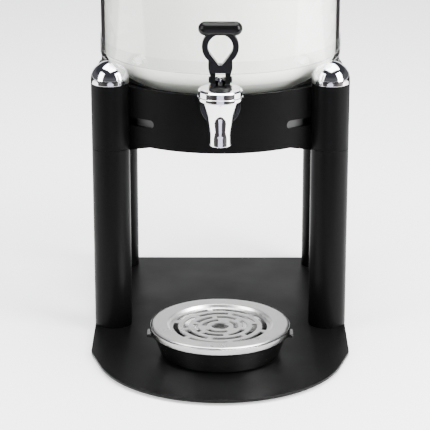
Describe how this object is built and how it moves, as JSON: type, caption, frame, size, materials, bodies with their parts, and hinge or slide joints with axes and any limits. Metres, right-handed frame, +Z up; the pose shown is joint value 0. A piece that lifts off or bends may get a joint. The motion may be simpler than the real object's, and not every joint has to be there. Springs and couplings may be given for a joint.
{
  "type": "beverage dispenser",
  "caption": "Gravity milk and juice dispenser: clear tank in a ring on round columns, self-closing tap, drip tray on a flat base.",
  "frame": {"origin": "on the resting surface, under the middle of the whole object", "axes": "+Z up, the tap and drip tray face -Y, +X to the right seen from the front"},
  "size_m": [0.2304, 0.3753, 0.5088],
  "materials": {
    "frame_paint": "satin black powder coat",
    "chrome_plate": "polished",
    "stainless": "polished stainless sheet",
    "screw_steel": "plain",
    "clear_plastic": "clear, polished",
    "clear_moulding": "clear moulded",
    "black_plastic": "moulded",
    "lever_plastic": "moulded, satin",
    "lid_paint": "satin black",
    "foot_rubber": "matte",
    "soft_seal": "silicone"
  },
  "bodies": {
    "frame": {"base_plate": "frame_paint", "base_feet": "foot_rubber", "column_bolts": "screw_steel", "leg_front_left": "frame_paint", "sleeve_front_left": "frame_paint", "dome_cap_front_left": "chrome_plate", "leg_front_right": "frame_paint", "sleeve_front_right": "frame_paint", "dome_cap_front_right": "chrome_plate", "leg_rear_left": "frame_paint", "sleeve_rear_left": "frame_paint", "dome_cap_rear_left": "chrome_plate", "leg_rear_right": "frame_paint", "sleeve_rear_right": "frame_paint", "dome_cap_rear_right": "chrome_plate", "ring_band": "frame_paint", "seat_ring": "stainless", "tank_cradle": "black_plastic"},
    "tank": {"tank_tube": "clear_plastic", "tank_base": "clear_moulding", "shank_seal": "soft_seal", "tap_flange": "chrome_plate", "tap_body": "chrome_plate", "tap_bonnet": "chrome_plate", "stem_guide": "black_plastic", "valve_spring": "screw_steel"},
    "stem": {"valve_stem": "chrome_plate", "seat_cup": "soft_seal", "lever_pin": "screw_steel"},
    "lever": {"tap_lever": "lever_plastic"},
    "lid": {"tank_lid": "lid_paint", "lid_gasket": "soft_seal"},
    "ice": {"ice_tube": "clear_moulding"},
    "cap": {"ice_cap": "lid_paint", "cap_knob": "chrome_plate", "knob_screw": "screw_steel"},
    "tray": {"drip_bowl": "stainless"},
    "grille": {"drip_grille": "stainless"}
  },
  "joints": [
    {"name": "tank_lift", "type": "slide", "parent": "frame", "child": "tank", "axis": [0, 0, 1], "range_m": [0, 0.075]},
    {"name": "stem_lift", "type": "slide", "parent": "tank", "child": "stem", "axis": [0, 0, 1], "range_m": [0, 0.004], "deforming": ["valve_spring"]},
    {"name": "lever_tilt", "type": "hinge", "parent": "stem", "child": "lever", "pos_m": [0, -0.0775, 0.2538], "axis": [1, 0, 0], "range_deg": [0, 35], "stiffness_Nm_per_rad": 0.025, "springref_deg": -51.57},
    {"name": "lid_lift", "type": "slide", "parent": "tank", "child": "lid", "axis": [0, 0, 1], "range_m": [0, 0.2]},
    {"name": "ice_lift", "type": "slide", "parent": "lid", "child": "ice", "axis": [0, 0, 1], "range_m": [0, 0.2]},
    {"name": "cap_lift", "type": "slide", "parent": "ice", "child": "cap", "axis": [0, 0, 1], "range_m": [0, 0.03]},
    {"name": "tray_slide", "type": "slide", "parent": "frame", "child": "tray", "axis": [0, -1, 0], "range_m": [0, 0.175]},
    {"name": "grille_lift", "type": "slide", "parent": "tray", "child": "grille", "axis": [0, 0, 1], "range_m": [0, 0.03]}
  ],
  "couplings": [
    {"joint": "stem_lift", "follows": "lever_tilt", "m_per_rad": 0.0065}
  ]
}
